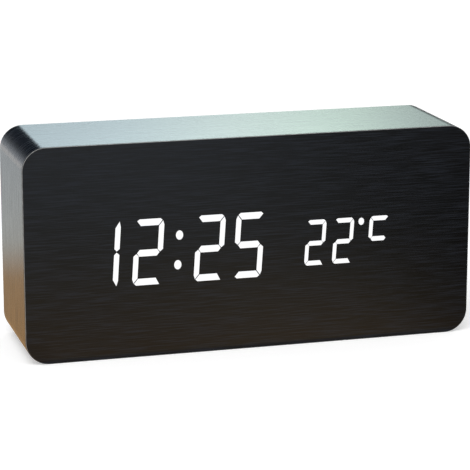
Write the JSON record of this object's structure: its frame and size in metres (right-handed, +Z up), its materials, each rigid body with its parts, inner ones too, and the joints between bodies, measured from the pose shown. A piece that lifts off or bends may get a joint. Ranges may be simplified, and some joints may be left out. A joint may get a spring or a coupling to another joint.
{
  "type": "digital desk clock",
  "caption": "Box-shaped desk clock in black wood-grain film with a lit time and temperature readout, rear keys, a power socket and a battery bay with a hinged door.",
  "frame": {"origin": "middle of the flat underside, which the clock stands on", "axes": "+X to the right seen from the front, -Y out of the front face, +Z up"},
  "size_m": [0.15, 0.04, 0.0705],
  "materials": {
    "face_film": "black wood-grain film, brushed along its length, satin",
    "wrap_film": "black wood-grain film, satin",
    "fibreboard": "fibreboard, dark stained edge",
    "lit_film": "lit white",
    "white_plastic": "moulded",
    "black_plastic": "fine moulded texture",
    "circuit_board": "green solder mask",
    "chip_plastic": "moulded",
    "steel": "plated",
    "cell_sleeve": "printed sleeve with bare ends",
    "ribbon_grey": "flat cable",
    "lead_red": "insulation",
    "lead_black": "insulation"
  },
  "bodies": {
    "case": {"case_body": "fibreboard", "side_wrap": "wrap_film", "front_face": "face_film", "display_diffuser": "lit_film", "display_reflector": "white_plastic", "display_board": "circuit_board", "display_screw_1": "steel", "display_screw_2": "steel", "display_screw_3": "steel", "display_screw_4": "steel", "controller_chip": "chip_plastic", "clock_crystal": "steel", "buzzer": "black_plastic", "rear_cover": "black_plastic", "cover_screw_1": "steel", "cover_screw_2": "steel", "cover_screw_3": "steel", "cover_screw_4": "steel", "battery_cell_1": "cell_sleeve", "battery_cell_2": "cell_sleeve", "battery_cell_3": "cell_sleeve", "contact_positive_end": "steel", "contact_bridge_left": "steel", "contact_bridge_right": "steel", "contact_negative_end": "steel", "key_board": "circuit_board", "key_board_screw_1": "steel", "key_board_screw_2": "steel", "key_board_screw_3": "steel", "key_board_screw_4": "steel", "set_switch": "chip_plastic", "up_switch": "chip_plastic", "down_switch": "chip_plastic", "power_socket": "chip_plastic", "microphone": "steel", "temperature_probe": "chip_plastic", "ribbon_socket_front": "white_plastic", "ribbon_socket_rear": "white_plastic", "ribbon_cable": "ribbon_grey", "battery_lead_red": "lead_red", "battery_lead_black": "lead_black"},
    "set_key": {"set_button": "black_plastic", "set_plunger": "white_plastic"},
    "up_key": {"up_button": "black_plastic", "up_plunger": "white_plastic"},
    "down_key": {"down_button": "black_plastic", "down_plunger": "white_plastic"},
    "door": {"battery_door": "black_plastic"}
  },
  "joints": [
    {"name": "set_button_press", "type": "slide", "parent": "case", "child": "set_key", "axis": [0, -1, 0], "range_m": [0, 0.0005], "stiffness_N_per_m": 600},
    {"name": "up_button_press", "type": "slide", "parent": "case", "child": "up_key", "axis": [0, -1, 0], "range_m": [0, 0.0005], "stiffness_N_per_m": 600},
    {"name": "down_button_press", "type": "slide", "parent": "case", "child": "down_key", "axis": [0, -1, 0], "range_m": [0, 0.0005], "stiffness_N_per_m": 600},
    {"name": "battery_door_swing", "type": "hinge", "parent": "case", "child": "door", "pos_m": [0.03085, 0.0167, 0.0177], "axis": [-1, 0, 0], "range_deg": [0, 95]}
  ]
}
